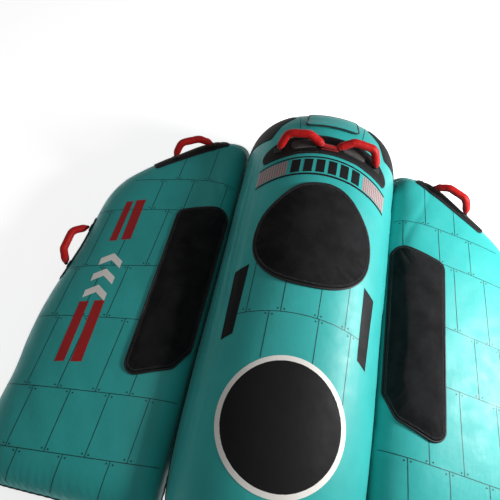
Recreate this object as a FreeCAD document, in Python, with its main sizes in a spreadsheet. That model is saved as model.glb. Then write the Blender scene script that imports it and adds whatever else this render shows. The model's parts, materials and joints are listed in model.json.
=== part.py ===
import FreeCAD, Part
import math
import os
from FreeCAD import Vector, Placement, Rotation

# A towable tube with three air chambers: a raised fuselage between two flat wing decks.
# Frame: +Z up, +Y towards the tow point, +X to the rider's right, origin on the floor below the middle.

doc = FreeCAD.newDocument("towable_tube")
sheet = doc.addObject("Spreadsheet::Sheet", "sizes")

SIZES = [
    ("body_half_length", 876.0),
    ("body_half_width", 335.0),
    ("body_crown", 580.0),
    ("body_seam_height", 250.0),
    ("wing_inner_edge", 339.0),
    ("wing_root_top", 352.0),
    ("wing_top_fall", 0.115),
    ("wing_seam_height", 150.0),
    ("cover_thickness", 1.5),
    ("bladder_gap", 3.0),
    ("bladder_wall", 1.0),
    ("welt_height", 7.0),
    ("welt_proud", 4.0),
    ("pad_gap", 0.5),
    ("pad_thickness", 12.0),
    ("patch_thickness", 4.0),
    ("panel_thickness", 1.5),
    ("tab_thickness", 2.5),
    ("handle_core_radius", 7.0),
    ("grip_radius", 16.0),
    ("grip_bore_radius", 7.5),
    ("handle_bend_radius", 24.0),
    ("body_handle_lift", 60.0),
    ("wing_handle_lift", 50.0),
    ("side_handle_lift", 47.0),
    ("valve_flange_radius", 22.0),
    ("valve_flange_thickness", 2.5),
    ("valve_collar_radius", 15.0),
    ("valve_collar_height", 9.0),
    ("valve_bore_radius", 11.0),
    ("valve_cap_radius", 17.0),
    ("valve_cap_thickness", 4.0),
    ("zipper_tape_height", 30.0),
    ("zipper_tape_thickness", 1.5),
    ("slider_length", 16.0),
    ("slider_height", 11.0),
    ("slider_thickness", 4.0),
    ("pull_length", 34.0),
    ("pull_width", 8.0),
    ("pull_thickness", 2.0),
    ("tow_plate_width", 84.0),
    ("tow_plate_thickness", 8.0),
    ("tow_eye_radius", 14.0),
    ("tow_bar_radius", 5.0),
    ("tow_web_width", 50.0),
    ("tow_web_thickness", 3.0),
]
for row, (alias, value) in enumerate(SIZES, start=1):
    sheet.set("A%d" % row, alias)
    sheet.set("B%d" % row, "%g" % value)
    sheet.setAlias("B%d" % row, alias)
doc.recompute()

nodes = []


def size(alias):
    """The value of one cell of the sheet, in millimetres."""
    return float(sheet.get(alias))


def add_shape(label, shape):
    """Store a sub-part that only free-form surfaces can make."""
    item = doc.addObject("Part::Feature", label)
    item.Shape = shape
    item.Label = label
    nodes.append(item)
    return item


def bind(item, **expressions):
    """Tie an object's properties to cells of the sheet."""
    for name, expression in expressions.items():
        item.setExpression(name, expression)


def cylinder(name, radius, height, base, direction):
    """A sheet-driven cylinder that starts at base and runs along direction."""
    item = doc.addObject("Part::Cylinder", name)
    bind(item, Radius=radius, Height=height)
    item.Placement = Placement(base, Rotation(Vector(0, 0, 1), direction))
    return item


def box(name, length, width, height, corner):
    """A sheet-driven box whose low corner is given."""
    item = doc.addObject("Part::Box", name)
    bind(item, Length=length, Width=width, Height=height)
    item.Placement = Placement(corner, Rotation())
    return item


def combine(kind, name, first, second):
    """A boolean of two objects: Part::Cut or Part::Fuse."""
    item = doc.addObject(kind, name)
    item.Base = first
    item.Tool = second
    return item


def keep(item, label):
    """Name a finished object as a sub-part."""
    item.Label = label
    nodes.append(item)
    return item


# ---- Inflated forms ------------------------------------------------------------------------------

# Fuselage stations: place along the half length, then width, rise above the seam and drop below it,
# each as a fraction of its largest value.
BODY_STATIONS = [
    (-1.0077, 0.56, 0.40, 0.46),
    (-0.975, 0.76, 0.58, 0.74),
    (-0.880, 0.90, 0.68, 0.93),
    (-0.700, 0.98, 0.74, 1.00),
    (-0.350, 1.00, 0.79, 1.00),
    (0.000, 1.00, 0.86, 1.00),
    (0.330, 1.00, 0.95, 1.00),
    (0.560, 1.00, 0.98, 1.00),
    (0.740, 1.01, 0.98, 0.94),
    (0.870, 0.96, 0.91, 0.80),
    (0.950, 0.83, 0.74, 0.58),
    (1.000, 0.50, 0.42, 0.30),
]

# Wing stations: place along Y, outer edge, and the height as a fraction of the full height.
# Stations nearer an end than the zone move outward when a wing is grown.
WING_END_ZONE = 720.0
WING_STATIONS = [
    (-800.0, 985.0, 0.62),
    (-775.0, 1003.0, 0.84),
    (-700.0, 1014.0, 0.98),
    (-560.0, 1012.0, 1.00),
    (-350.0, 1006.0, 1.00),
    (0.0, 974.0, 1.00),
    (260.0, 942.0, 1.00),
    (392.0, 925.0, 1.00),
    (474.0, 884.0, 1.00),
    (550.0, 804.0, 1.00),
    (625.0, 697.0, 1.00),
    (695.0, 596.0, 0.97),
    (740.0, 532.0, 0.82),
    (766.0, 498.0, 0.60),
    (778.0, 472.0, 0.35),
]

# A section is an ellipse with squarer corners: 2 is a plain ellipse.
BODY_TOP_POWER = 2.1
BODY_BOTTOM_POWER = 2.5
WING_POWER = 3.2
RING_POINTS = 20


def closed_curve(points):
    """A smooth closed curve through points, as a wire."""
    curve = Part.BSplineCurve()
    curve.interpolate(points, PeriodicFlag=True)
    return Part.Wire(curve.toShape())


def swelled(value, power):
    """A signed cosine or sine raised to make a squarer ellipse."""
    return math.copysign(abs(value) ** (2.0 / power), value)


def body_ring(station, grow):
    """One cross-section of the fuselage, grown outward by grow."""
    place, width, rise, drop = station
    half_width = width * size("body_half_width") + grow
    seam = size("body_seam_height")
    up = rise * (size("body_crown") - seam) + grow
    down = drop * seam + grow
    y = place * (size("body_half_length") + grow)
    points = []
    for step in range(RING_POINTS):
        angle = 2 * math.pi * step / RING_POINTS
        x = half_width * swelled(math.cos(angle), BODY_TOP_POWER)
        if math.sin(angle) >= 0:
            height = up * swelled(math.sin(angle), BODY_TOP_POWER)
        else:
            height = down * swelled(math.sin(angle), BODY_BOTTOM_POWER)
        points.append(Vector(x, y, seam + height))
    return closed_curve(points)


def wing_ring(station, grow):
    """One cross-section of the right wing, grown outward by grow."""
    place, outer, fill = station
    inner = size("wing_inner_edge") - grow
    outer = outer + grow
    seam = size("wing_seam_height")
    middle = (inner + outer) / 2
    half_width = (outer - inner) / 2
    stretch = grow if place > 0 else -grow
    y = place + stretch if abs(place) > WING_END_ZONE else place
    points = []
    for step in range(RING_POINTS):
        angle = 2 * math.pi * step / RING_POINTS
        x = middle + half_width * swelled(math.cos(angle), WING_POWER)
        height = swelled(math.sin(angle), WING_POWER)
        fall = size("wing_top_fall") * (x - size("wing_inner_edge"))
        up = fill * (size("wing_root_top") - fall - seam) + grow
        down = fill * seam + grow
        points.append(Vector(x, y, seam + (up if height >= 0 else down) * height))
    return closed_curve(points)


def inflated(ring, stations, grow):
    """A closed solid through every cross-section."""
    return Part.makeLoft([ring(station, grow) for station in stations], True, False)


def mirrored(shape):
    """The left-hand copy of a right-hand shape."""
    return shape.mirror(Vector(0, 0, 0), Vector(1, 0, 0))


def body_form(grow):
    return inflated(body_ring, BODY_STATIONS, grow)


def wing_form(grow):
    return inflated(wing_ring, WING_STATIONS, grow)


form_cache = {}
lift_cache = {}


def form(name, grow):
    """The fuselage or right-wing form grown by grow, made once for each grow.

    A smooth loft swells a little past its stations, so each form is lifted to stand on the floor.
    """
    key = (name, round(grow, 3))
    if key not in form_cache:
        shape = body_form(grow) if name == "body" else wing_form(grow)
        if grow == 0.0:
            lift_cache[name] = -shape.optimalBoundingBox().ZMin
        else:
            form(name, 0.0)
        shape.translate(Vector(0, 0, lift_cache[name]))
        form_cache[key] = shape
    return form_cache[key]


WORLD = 1500.0
SEAM_GAP = 0.4


def slab(low, high):
    """A level slab that spans the whole object."""
    return Part.makeBox(2 * WORLD, 2 * WORLD, high - low, Vector(-WORLD, -WORLD, low))


def skin(name, low, high):
    """The hollow layer between two grown forms."""
    outer = form(name, high).Shells[0]
    inner = form(name, low).Shells[0].copy()
    inner.reverse()
    return Part.makeSolid(Part.Compound([outer, inner]))


def chamber(label, name, seam, flip):
    """Covers, welt and bladder of one air chamber."""
    thickness = size("cover_thickness")
    shell = skin(name, -thickness, 0.0)
    top = shell.common(slab(seam + SEAM_GAP, WORLD))
    bottom = shell.common(slab(-WORLD, seam - SEAM_GAP))
    welt = skin(name, SEAM_GAP, size("welt_proud")).common(
        slab(seam - size("welt_height") / 2, seam + size("welt_height") / 2))
    outside = -(thickness + size("bladder_gap"))
    bladder = skin(name, outside - size("bladder_wall"), outside)
    pieces = {"top_cover": top, "bottom_cover": bottom, "seam_welt": welt, "bladder": bladder}
    for suffix, shape in pieces.items():
        add_shape("%s_%s" % (label, suffix), mirrored(shape) if flip else shape)


chamber("fuselage", "body", size("body_seam_height"), False)
chamber("right_wing", "wing", size("wing_seam_height"), False)
chamber("left_wing", "wing", size("wing_seam_height"), True)


# ---- Surface layers ------------------------------------------------------------------------------

def rounded_outline(points, radius):
    """A closed wire through flat corner points, each corner an arc of the same radius."""
    edges = []
    marks = []
    count = len(points)
    for index, corner in enumerate(points):
        before = (points[index - 1] - corner).normalize()
        after = (points[(index + 1) % count] - corner).normalize()
        half = before.getAngle(after) / 2
        reach = radius / math.tan(half)
        centre = corner + (before + after).normalize() * (radius / math.sin(half))
        middle = centre + (corner - centre).normalize() * radius
        marks.append((corner + before * reach, middle, corner + after * reach))
    for index, (start, middle, end) in enumerate(marks):
        edges.append(Part.Arc(start, middle, end).toShape())
        edges.append(Part.LineSegment(end, marks[(index + 1) % count][0]).toShape())
    return Part.Wire(edges)


def upright_prism(wire, bottom):
    """Everything above bottom inside a level outline."""
    shape = Part.Face(wire)
    shape.translate(Vector(0, 0, bottom))
    return shape.extrude(Vector(0, 0, WORLD))


def layer(name, low, thickness, prism):
    """A sheet of even thickness that lies on a form inside a prism."""
    return skin(name, low, low + thickness).common(prism)


def both_sides(label, shape):
    """The right-hand and left-hand copies of a sub-part."""
    add_shape("right_" + label, shape)
    add_shape("left_" + label, mirrored(shape))


def flat(x, y):
    return Vector(x, y, 0)


BODY_SEAM = size("body_seam_height")
WING_SEAM = size("wing_seam_height")
GAP = size("pad_gap")
PATCH = size("patch_thickness")
PAD_CORNER = 42.0
GUARD_CORNER = 14.0
FRONT_CORNER = 15.0
SIDE_CORNER = 20.0
PANEL_CORNER = 14.0
FLAP_CORNER = 16.0

# The rider's chest pad: an egg with its narrow end forward.
CHEST_PAD = [(0, 416), (86, 396), (152, 335), (198, 262), (213, 186),
             (199, 100), (142, 36), (64, 10), (0, 6)]
chest_points = [flat(x, y) for x, y in CHEST_PAD] + [flat(-x, y) for x, y in CHEST_PAD[-2:0:-1]]
chest_prism = upright_prism(closed_curve(chest_points), BODY_SEAM)
add_shape("chest_pad", layer("body", GAP, size("pad_thickness"), chest_prism))

# A knee and elbow pad on each wing.
WING_PAD = [(357, 398), (562, 318), (574, -394), (404, -322), (362, -240)]
wing_pad_outline = rounded_outline([flat(x, y) for x, y in WING_PAD], PAD_CORNER)
wing_pad_prism = upright_prism(wing_pad_outline, WING_SEAM)
both_sides("wing_pad", layer("wing", GAP, size("pad_thickness"), wing_pad_prism))

# The crescent that carries the pair of fuselage handles, and the guards under their grips.
CRESCENT = [(0, 646), (90, 642), (165, 628), (222, 598), (252, 548),
            (240, 516), (178, 530), (90, 550), (0, 556)]
crescent_points = [flat(x, y) for x, y in CRESCENT] + [flat(-x, y) for x, y in CRESCENT[-2:0:-1]]
crescent_prism = upright_prism(closed_curve(crescent_points), BODY_SEAM)
add_shape("handle_crescent", layer("body", GAP, PATCH, crescent_prism))

GUARD = [(46, 628), (154, 606), (142, 568), (46, 582)]
guard_outline = rounded_outline([flat(x, y) for x, y in GUARD], GUARD_CORNER)
guard_prism = upright_prism(guard_outline, BODY_SEAM)
both_sides("knuckle_guard", layer("body", GAP + PATCH + GAP, PATCH, guard_prism))

# Handle patches: one along each wing's slanted front edge, one along its outer side.
FRONT_PATCH = [(426, 705), (728, 520), (760, 568), (456, 752)]
front_outline = rounded_outline([flat(x, y) for x, y in FRONT_PATCH], FRONT_CORNER)
front_prism = upright_prism(front_outline, WING_SEAM)
both_sides("front_handle_patch", layer("wing", GAP, PATCH, front_prism))

SIDE_PATCH = [(258, 176), (258, 232), (-48, 232), (-48, 176)]
SIDE_START = 700.0
side_outline = rounded_outline([Vector(SIDE_START, y, z) for y, z in SIDE_PATCH], SIDE_CORNER)
side_prism = Part.Face(side_outline).extrude(Vector(WORLD, 0, 0))
both_sides("side_handle_patch", layer("wing", GAP, PATCH, side_prism))

# Dark panels on both flanks of the nose.
NOSE_PANEL = [(238, 650), (348, 668), (348, 730), (300, 835), (205, 862), (150, 775), (206, 724)]
PANEL_FLOOR = BODY_SEAM + 30
nose_outline = rounded_outline([flat(x, y) for x, y in NOSE_PANEL], PANEL_CORNER)
nose_prism = upright_prism(nose_outline, PANEL_FLOOR)
both_sides("nose_panel", layer("body", GAP, size("panel_thickness"), nose_prism))

# A web of fabric under each valley joins a wing to the fuselage.
WEB_START = Vector(240, -640, 30)
WEB_END = Vector(440, 590, 32.5)
web_span = WEB_END - WEB_START
web = Part.makeBox(web_span.x, web_span.y, web_span.z, WEB_START)
web = web.cut(form("body", GAP)).cut(form("wing", GAP))
both_sides("joining_web", web)


# ---- Handles -------------------------------------------------------------------------------------

def surface_hit(shape, start, direction):
    """The last point where a ray from start leaves a shape, and the outward normal there."""
    ray = Part.makeLine(start, start + direction * WORLD)
    ends = [vertex.Point for edge in ray.common(shape).Edges for vertex in edge.Vertexes]
    point = max(ends, key=lambda spot: (spot - start).dot(direction))
    vertex = Part.Vertex(point)
    face = min(shape.Faces, key=lambda item: item.distToShape(vertex)[0])
    u, v = face.Surface.parameter(point)
    return point, face.normalAt(u, v)


def run_with_bends(points, radius):
    """Straight runs joined by tangent arcs."""
    edges = []
    start = points[0]
    for before, corner, after in zip(points, points[1:], points[2:]):
        back = (before - corner).normalize()
        onward = (after - corner).normalize()
        half = back.getAngle(onward) / 2
        reach = radius / math.tan(half)
        centre = corner + (back + onward).normalize() * (radius / math.sin(half))
        middle = centre + (corner - centre).normalize() * radius
        edges.append(Part.LineSegment(start, corner + back * reach).toShape())
        edges.append(Part.Arc(corner + back * reach, middle, corner + onward * reach).toShape())
        start = corner + onward * reach
    edges.append(Part.LineSegment(start, points[-1]).toShape())
    return Part.Wire(edges)


def tube(points, bend, radius):
    """A round bar along straight runs and arcs."""
    path = run_with_bends(points, bend)
    heading = points[1] - points[0]
    profile = Part.Wire(Part.makeCircle(radius, points[0], heading))
    return path.makePipeShell([profile], True, True)


# Shares of a handle's span and of a leg's length.
FOOT_INSET = 0.20
GRIP_START = 0.33
joint_notes = []


def handle(label, shape, feet, rays, lean, lift):
    """A rope core with ball ends in a foam grip, standing on two feet; returns the foot points."""
    core_radius = size("handle_core_radius")
    stand = 4 * GAP + PATCH + size("tab_thickness") + core_radius
    ends = []
    for foot, ray in zip(feet, rays):
        point, normal = surface_hit(shape, foot, ray)
        ends.append(point + normal * stand)
    first, last = ends
    along = last - first
    lean = Vector(lean)
    lean = (lean - along * (lean.dot(along) / along.dot(along))).normalize()
    shoulder_a = first + along * FOOT_INSET + lean * lift
    shoulder_b = last - along * FOOT_INSET + lean * lift
    route = [first, shoulder_a, shoulder_b, last]
    bend = size("handle_bend_radius")
    core = tube(route, bend, core_radius)
    for end in ends:
        core = core.fuse(Part.makeSphere(core_radius, end))
    grip_route = [first + (shoulder_a - first) * GRIP_START, shoulder_a,
                  shoulder_b, last + (shoulder_b - last) * GRIP_START]
    grip = tube(grip_route, bend, size("grip_radius")).cut(tube(route, bend, size("grip_bore_radius")))
    joint_notes.append((label, first, along, lean))
    return core, grip


TAB_LOW = GAP + PATCH + GAP
TAB_WIDTH = 34.0
TAB_CORNER = 6.0
TAB_REACH = 30.0


def tab(shape_name, spot, ray, width):
    """A square of webbing sewn down under one handle foot."""
    point, normal = surface_hit(form(shape_name, 0.0), spot, ray)
    block = Part.makeBox(width, width, 2 * TAB_REACH, Vector(-width / 2, -width / 2, -TAB_REACH))
    upright = [edge for edge in block.Edges if abs(edge.tangentAt(0).z) > 0.9]
    block = block.makeFillet(TAB_CORNER, upright)
    block.Placement = Placement(point, Rotation(Vector(0, 0, 1), normal))
    return skin(shape_name, TAB_LOW, TAB_LOW + size("tab_thickness")).common(block)


UP = Vector(0, 0, 1)
OUT = Vector(1, 0, 0)

# Fuselage pair: from a flank foot to a foot beside the middle, leaning forward.
BODY_FEET = [Vector(190, 572, BODY_SEAM), Vector(24, 584, BODY_SEAM)]
body_core, body_grip = handle("body_handle", form("body", 0.0), BODY_FEET, [UP, UP],
                              Vector(0.20, 0.50, 0.86), size("body_handle_lift"))
both_sides("fuselage_handle_core", body_core)
both_sides("fuselage_grip", body_grip)
flank_tab = tab("body", BODY_FEET[0], UP, TAB_WIDTH)
middle_foot = Vector(0, BODY_FEET[1].y, BODY_SEAM)
middle_width = 2.4 * TAB_WIDTH
middle_corner = Vector(-middle_width / 2, middle_foot.y - TAB_WIDTH / 2, 0)
middle_tab = tab("body", middle_foot, UP, middle_width)
middle_tab = middle_tab.common(Part.makeBox(middle_width, TAB_WIDTH, WORLD, middle_corner))
add_shape("fuselage_handle_tabs", Part.makeCompound([flank_tab, mirrored(flank_tab), middle_tab]))

# Wing handles: one on the slanted front edge, one on the outer side.
FRONT_FEET = [Vector(654, 596, WING_SEAM), Vector(508, 686, WING_SEAM)]
front_core, front_grip = handle("front_handle", form("wing", 0.0), FRONT_FEET, [UP, UP],
                                Vector(0.19, 0.28, 0.94), size("wing_handle_lift"))
both_sides("front_handle_core", front_core)
both_sides("front_grip", front_grip)

SIDE_AIM = Vector(1, 0, 0.35).normalize()
SIDE_FEET = [Vector(780, 204, WING_SEAM + 8), Vector(800, 16, WING_SEAM + 8)]
side_core, side_grip = handle("side_handle", form("wing", 0.0), SIDE_FEET, [SIDE_AIM, SIDE_AIM],
                              Vector(0.95, 0, 0.30), size("side_handle_lift"))
both_sides("side_handle_core", side_core)
both_sides("side_grip", side_grip)

wing_tabs = [tab("wing", foot, UP, TAB_WIDTH) for foot in FRONT_FEET]
wing_tabs += [tab("wing", foot, SIDE_AIM, TAB_WIDTH) for foot in SIDE_FEET]
both_sides("handle_tabs", Part.makeCompound(wing_tabs))


# ---- Nose flap -----------------------------------------------------------------------------------

FLAP = [(-108, 696), (108, 696), (100, 792), (-100, 792)]
FLAP_HEIGHT = 3.0
FLAP_THICKNESS = 2.5
flap_prism = upright_prism(rounded_outline([flat(x, y) for x, y in FLAP], FLAP_CORNER), BODY_SEAM)
nose_flap = add_shape("nose_flap", layer("body", FLAP_HEIGHT, FLAP_THICKNESS, flap_prism))
hem = Part.makeBox(2 * WORLD, WORLD, WORLD, Vector(-WORLD, FLAP[2][1] - 10, 0))
flap_front = nose_flap.Shape.common(hem).optimalBoundingBox()
joint_notes.append(("nose_flap", flap_front.YMax, flap_front.ZMin, flap_front.ZMax))


# ---- Tow point -----------------------------------------------------------------------------------

# Webbing runs along the underside of the nose, up its end and round the bar of a plate with an eye.
NOSE = size("body_half_length")
TOW_HEIGHT = 215.0
WEB_WALL = size("tow_web_thickness")
LOOP_BORE = size("tow_bar_radius") + 2.0
LOOP_SINK = 0.4
STRIP_START = 620.0
STRIP_TOP = TOW_HEIGHT + 8
loop_axis = Vector(0, NOSE + GAP + 2 * WEB_WALL + LOOP_BORE - LOOP_SINK, TOW_HEIGHT)
strip_width = size("tow_web_width")
strip = Part.makeBox(strip_width, NOSE, STRIP_TOP, Vector(-strip_width / 2, STRIP_START, 0))
tow_strip = layer("body", GAP, WEB_WALL, strip)
loop_start = loop_axis - Vector(strip_width / 2, 0, 0)
loop = Part.makeCylinder(LOOP_BORE + WEB_WALL, strip_width, loop_start, OUT)
loop_bore = Part.makeCylinder(LOOP_BORE, strip_width, loop_start, OUT)
add_shape("tow_web", tow_strip.fuse(loop).cut(loop_bore))

SLOT_HEIGHT = 9.0
SLOT_LENGTH = 54.0
EYE_DROP = 34.0
PLATE_DROP = 57.0
PLATE_ROUND = 26.0
PLATE_CORNER = 4.0
plate_depth = size("tow_plate_thickness")
plate_width = size("tow_plate_width")
plate_low = loop_axis + Vector(-plate_width / 2, -plate_depth / 2, -PLATE_DROP)
plate = box("tow_plate_blank", "sizes.tow_plate_width", "sizes.tow_plate_thickness",
            "%g mm" % (PLATE_DROP + size("tow_bar_radius")), plate_low)
doc.recompute()
rounded = doc.addObject("Part::Fillet", "tow_plate_rounded")
rounded.Base = plate
corner_radii = []
for number, edge in enumerate(plate.Shape.Edges, start=1):
    if abs(edge.Length - plate_depth) < 0.01:
        low_edge = edge.BoundBox.ZMin < loop_axis.z - EYE_DROP
        radius = PLATE_ROUND if low_edge else PLATE_CORNER
        corner_radii.append((number, radius, radius))
rounded.Edges = corner_radii
eye = cylinder("tow_plate_eye", "sizes.tow_eye_radius", "3 * sizes.tow_plate_thickness",
               loop_axis + Vector(0, -1.5 * plate_depth, -EYE_DROP), Vector(0, 1, 0))
slot_low = loop_axis - Vector(SLOT_LENGTH / 2, 1.5 * plate_depth, size("tow_bar_radius") + SLOT_HEIGHT)
slot = box("tow_plate_slot", "%g mm" % SLOT_LENGTH, "3 * sizes.tow_plate_thickness",
           "%g mm" % SLOT_HEIGHT, slot_low)
with_eye = combine("Part::Cut", "tow_plate_with_eye", rounded, eye)
keep(combine("Part::Cut", "tow_plate", with_eye, slot), "tow_plate")
joint_notes.append(("tow_plate", loop_axis, OUT, loop_axis.z - EYE_DROP))


# ---- Valves and zippers on the straight tails ----------------------------------------------------

BACK = Vector(0, -1, 0)
SEAT_GAP = 0.3
BORE_FLOOR = 1.5
CAP_GAP = 0.4
PLUG_DEPTH = 3.0


def valve(label, centre):
    """A flanged inflation valve and its flip cap; centre lies on the tail's cloth."""
    seat = centre + BACK * SEAT_GAP
    flange = cylinder(label + "_flange", "sizes.valve_flange_radius", "sizes.valve_flange_thickness",
                      seat, BACK)
    collar = cylinder(label + "_collar", "sizes.valve_collar_radius",
                      "sizes.valve_flange_thickness + sizes.valve_collar_height", seat, BACK)
    bore = cylinder(label + "_bore", "sizes.valve_bore_radius", "2 * sizes.valve_collar_height",
                    seat + BACK * BORE_FLOOR, BACK)
    body = combine("Part::Fuse", label + "_body", flange, collar)
    keep(combine("Part::Cut", label, body, bore), label)
    rim = seat + BACK * (size("valve_flange_thickness") + size("valve_collar_height") + CAP_GAP)
    disc = cylinder(label + "_disc", "sizes.valve_cap_radius", "sizes.valve_cap_thickness", rim, BACK)
    plug = cylinder(label + "_plug", "sizes.valve_bore_radius - 1", "sizes.valve_cap_thickness",
                    rim - BACK * PLUG_DEPTH, BACK)
    keep(combine("Part::Fuse", label + "_lid", disc, plug), label + "_cap")
    hinge = rim + BACK * (size("valve_cap_thickness") / 2) + UP * (size("valve_cap_radius") + 1)
    joint_notes.append((label + "_cap", hinge, OUT, 0))


TAPE_GAP = 0.5
SLIDER_GAP = 0.3
SLIDER_INSET = 20.0
PIN_REACH = 4.5
PIN_RADIUS = 1.2
EAR = Vector(2, 7, 5)
EAR_SPREAD = 1.6


def zipper(label, left, right, height, tail):
    """A straight zipper tape, its slider near the right end and the pull that hangs from it."""
    tape_wall = size("zipper_tape_thickness")
    tape_face = tail - TAPE_GAP - tape_wall
    tape = box(label + "_tape", "%g mm" % (right - left), "sizes.zipper_tape_thickness",
               "sizes.zipper_tape_height", Vector(left, tape_face, height))
    keep(tape, label + "_tape")
    length = size("slider_length")
    centre = Vector(right - SLIDER_INSET, tape_face - SLIDER_GAP, height + size("zipper_tape_height") / 2)
    block_low = centre - Vector(length / 2, size("slider_thickness"), size("slider_height") / 2)
    block = box(label + "_slider_block", "sizes.slider_length", "sizes.slider_thickness",
                "sizes.slider_height", block_low)
    pin_centre = centre + Vector(0, -size("slider_thickness") - PIN_REACH, 0)
    half_pull = size("pull_width") / 2
    slider = block
    for side in (-1, 1):
        ear_middle = pin_centre + Vector(side * (half_pull + EAR_SPREAD), EAR.y / 2 - 2, 0)
        ear = box("%s_ear_%s" % (label, "left" if side < 0 else "right"),
                  "%g mm" % EAR.x, "%g mm" % EAR.y, "%g mm" % EAR.z, ear_middle - EAR / 2)
        slider = combine("Part::Fuse", "%s_with_ear_%d" % (label, side + 2), slider, ear)
    pin = cylinder(label + "_pin", "%g mm" % PIN_RADIUS, "sizes.pull_width + %g" % (2 * EAR.x),
                   pin_centre - Vector(half_pull + EAR.x, 0, 0), OUT)
    keep(combine("Part::Fuse", label + "_slider_body", slider, pin), label + "_slider")
    eye_start = pin_centre - Vector(half_pull, 0, 0)
    boss = cylinder(label + "_pull_boss", "%g mm" % (PIN_RADIUS + 2), "sizes.pull_width", eye_start, OUT)
    blade = box(label + "_pull_blade", "sizes.pull_width", "sizes.pull_thickness", "sizes.pull_length",
                pin_centre + Vector(-half_pull, -size("pull_thickness") / 2, -size("pull_length")))
    eye_bore = cylinder(label + "_pull_eye", "%g mm" % (PIN_RADIUS + SLIDER_GAP), "sizes.pull_width",
                        eye_start, OUT)
    pull = combine("Part::Fuse", label + "_pull_solid", boss, blade)
    keep(combine("Part::Cut", label + "_pull", pull, eye_bore), label + "_pull")
    joint_notes.append((label + "_pull", pin_centre, BACK, 0))


BODY_TAIL = BODY_STATIONS[0][0] * size("body_half_length")
WING_TAIL = WING_STATIONS[0][0]
valve("fuselage_valve", Vector(0, BODY_TAIL, 318))
zipper("fuselage_zipper", -150, 150, 172, BODY_TAIL)
valve("right_wing_valve", Vector(600, WING_TAIL, 198))
zipper("right_wing_zipper", 440, 900, 84, WING_TAIL)
valve("left_wing_valve", Vector(-600, WING_TAIL, 198))
zipper("left_wing_zipper", -900, -440, 84, WING_TAIL)


# ---- Check and write -----------------------------------------------------------------------------

doc.recompute()
for item in doc.Objects:
    for state in item.State:
        if state in ("Invalid", "Error"):
            raise RuntimeError("%s is %s" % (item.Name, state))

for note in joint_notes:
    print(*note)

os.makedirs("parts", exist_ok=True)
for item in nodes:
    shape = item.Shape
    if shape.isNull() or not shape.isValid():
        raise RuntimeError("bad shape: " + item.Label)
    extent = shape.optimalBoundingBox()
    print("%-28s %8.1f cm3, %d solids, X %7.1f %7.1f  Y %7.1f %7.1f  Z %6.1f %6.1f" % (
        item.Label, shape.Volume / 1000, len(shape.Solids), extent.XMin, extent.XMax,
        extent.YMin, extent.YMax, extent.ZMin, extent.ZMax))
    shape.exportStep("parts/%s.step" % item.Label)
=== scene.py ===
import json
import math
import bpy
import numpy as np
from mathutils import Matrix, Vector, noise
from mathutils.bvhtree import BVHTree


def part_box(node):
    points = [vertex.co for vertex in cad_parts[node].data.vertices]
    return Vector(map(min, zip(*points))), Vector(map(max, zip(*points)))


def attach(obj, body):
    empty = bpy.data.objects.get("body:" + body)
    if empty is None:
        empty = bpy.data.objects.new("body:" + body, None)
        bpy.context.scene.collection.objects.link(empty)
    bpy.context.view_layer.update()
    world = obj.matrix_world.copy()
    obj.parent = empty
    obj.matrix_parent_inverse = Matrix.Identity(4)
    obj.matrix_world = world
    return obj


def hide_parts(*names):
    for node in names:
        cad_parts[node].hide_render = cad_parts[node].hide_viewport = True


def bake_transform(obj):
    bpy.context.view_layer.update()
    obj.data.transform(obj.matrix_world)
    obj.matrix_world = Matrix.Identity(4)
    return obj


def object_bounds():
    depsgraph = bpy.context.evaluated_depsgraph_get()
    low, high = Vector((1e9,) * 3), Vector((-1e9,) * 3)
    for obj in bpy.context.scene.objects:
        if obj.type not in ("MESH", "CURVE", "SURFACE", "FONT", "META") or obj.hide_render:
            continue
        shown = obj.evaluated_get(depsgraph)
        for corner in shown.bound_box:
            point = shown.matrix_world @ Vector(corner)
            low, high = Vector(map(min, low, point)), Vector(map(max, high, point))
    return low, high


# The looks of a towable tube: inflated nylon covers, padded decks, printed trim and padded handles.
# Metres throughout, +Z up, +Y towards the tow point, +X to the rider's right.

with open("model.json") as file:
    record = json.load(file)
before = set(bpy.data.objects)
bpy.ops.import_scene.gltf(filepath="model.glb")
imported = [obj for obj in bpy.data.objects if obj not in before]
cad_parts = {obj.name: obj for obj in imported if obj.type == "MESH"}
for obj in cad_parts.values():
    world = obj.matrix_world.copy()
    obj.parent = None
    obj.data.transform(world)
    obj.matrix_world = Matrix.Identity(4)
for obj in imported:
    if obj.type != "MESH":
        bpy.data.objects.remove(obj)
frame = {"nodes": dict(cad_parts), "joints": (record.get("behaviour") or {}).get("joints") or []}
cad_low, cad_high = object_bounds()
nodes = frame["nodes"]
joints = {joint["name"]: joint for joint in frame["joints"]}

MM = 0.001
SIDES = {"right": 1, "left": -1}
CHAMBERS = ("fuselage", "right_wing", "left_wing")


# ---- Camera, lights and stage ----

CAMERA_PLACE = Vector((-0.136, -0.609, 1.932))
CAMERA_YAW = math.radians(-6.52)
CAMERA_PITCH = math.radians(63.02)
CAMERA_ROLL = math.radians(-5.99)
CAMERA_LENS = 31.77
WORLD_STRENGTH = 0.14
FLOOR_REACH = 14
FLOOR_GLOW = 0.72


def placed(name, data):
    """A new object in the scene."""
    item = bpy.data.objects.new(name, data)
    bpy.context.scene.collection.objects.link(item)
    return item


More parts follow.
